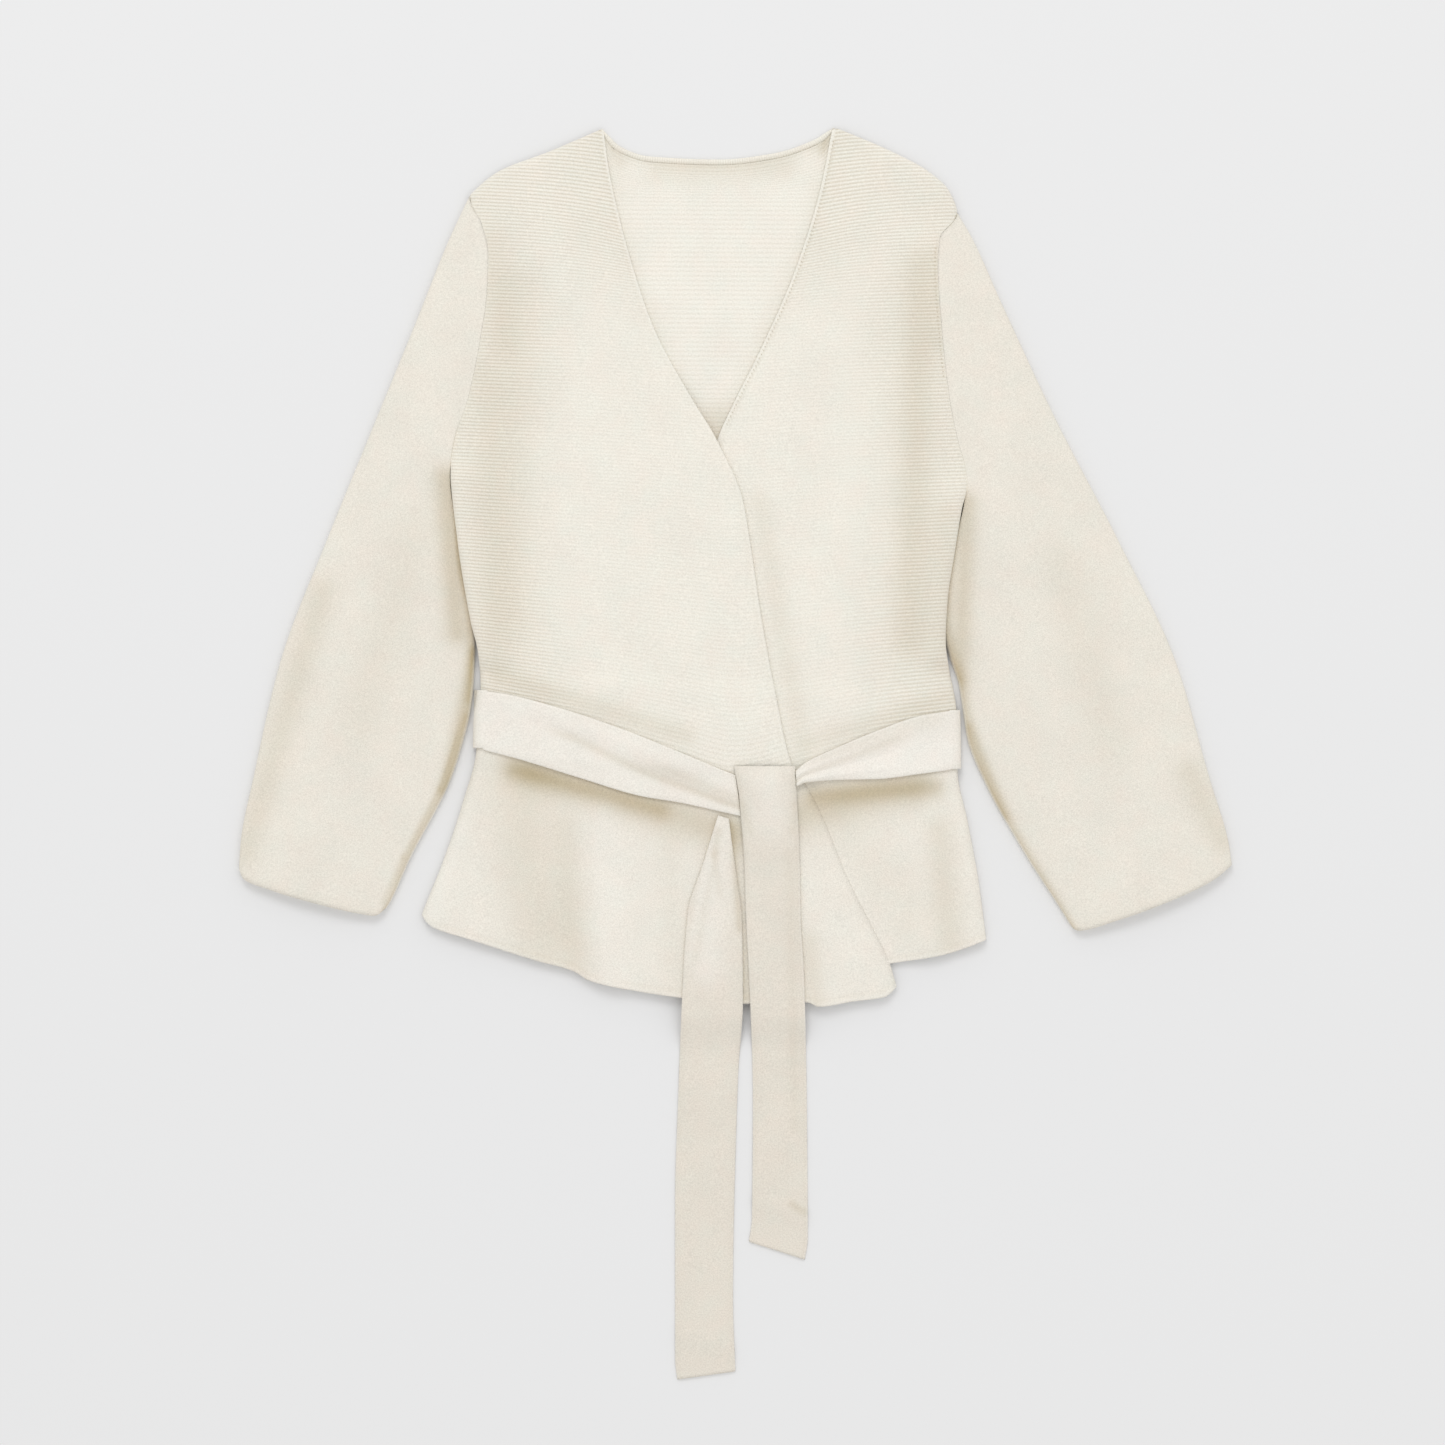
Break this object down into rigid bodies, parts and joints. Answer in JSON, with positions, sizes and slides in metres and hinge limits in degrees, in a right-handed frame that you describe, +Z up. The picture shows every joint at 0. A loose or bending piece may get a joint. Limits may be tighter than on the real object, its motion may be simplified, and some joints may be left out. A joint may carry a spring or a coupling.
{
  "type": "wrap cardigan",
  "caption": "Rib-knit wrap cardigan laid flat: crossed fronts with a deep V neck, wide bracelet sleeves, plain flared peplum and a tie belt knotted at the waist.",
  "frame": {"origin": "on the surface that the garment lies on, at the middle of its outline", "axes": "+Y from the hem to the neck, +Z up from the surface, +X towards the wearer's left"},
  "size_m": [0.796, 1.003, 0.023],
  "materials": {
    "rib_knit": "matte",
    "plain_knit": "matte",
    "belt_knit": "matte"
  },
  "bodies": {
    "root": {"back": "rib_knit", "neck_band": "rib_knit", "front_right": "rib_knit", "front_left": "rib_knit", "sleeve_right": "plain_knit", "sleeve_left": "plain_knit", "peplum_back": "plain_knit", "peplum_front_right": "plain_knit", "peplum_front_left": "plain_knit", "belt_back": "belt_knit", "belt_front_right": "belt_knit", "belt_front_left": "belt_knit", "belt_knot": "belt_knit", "belt_tail_front": "belt_knit", "belt_tail_back": "belt_knit"}
  },
  "joints": []
}
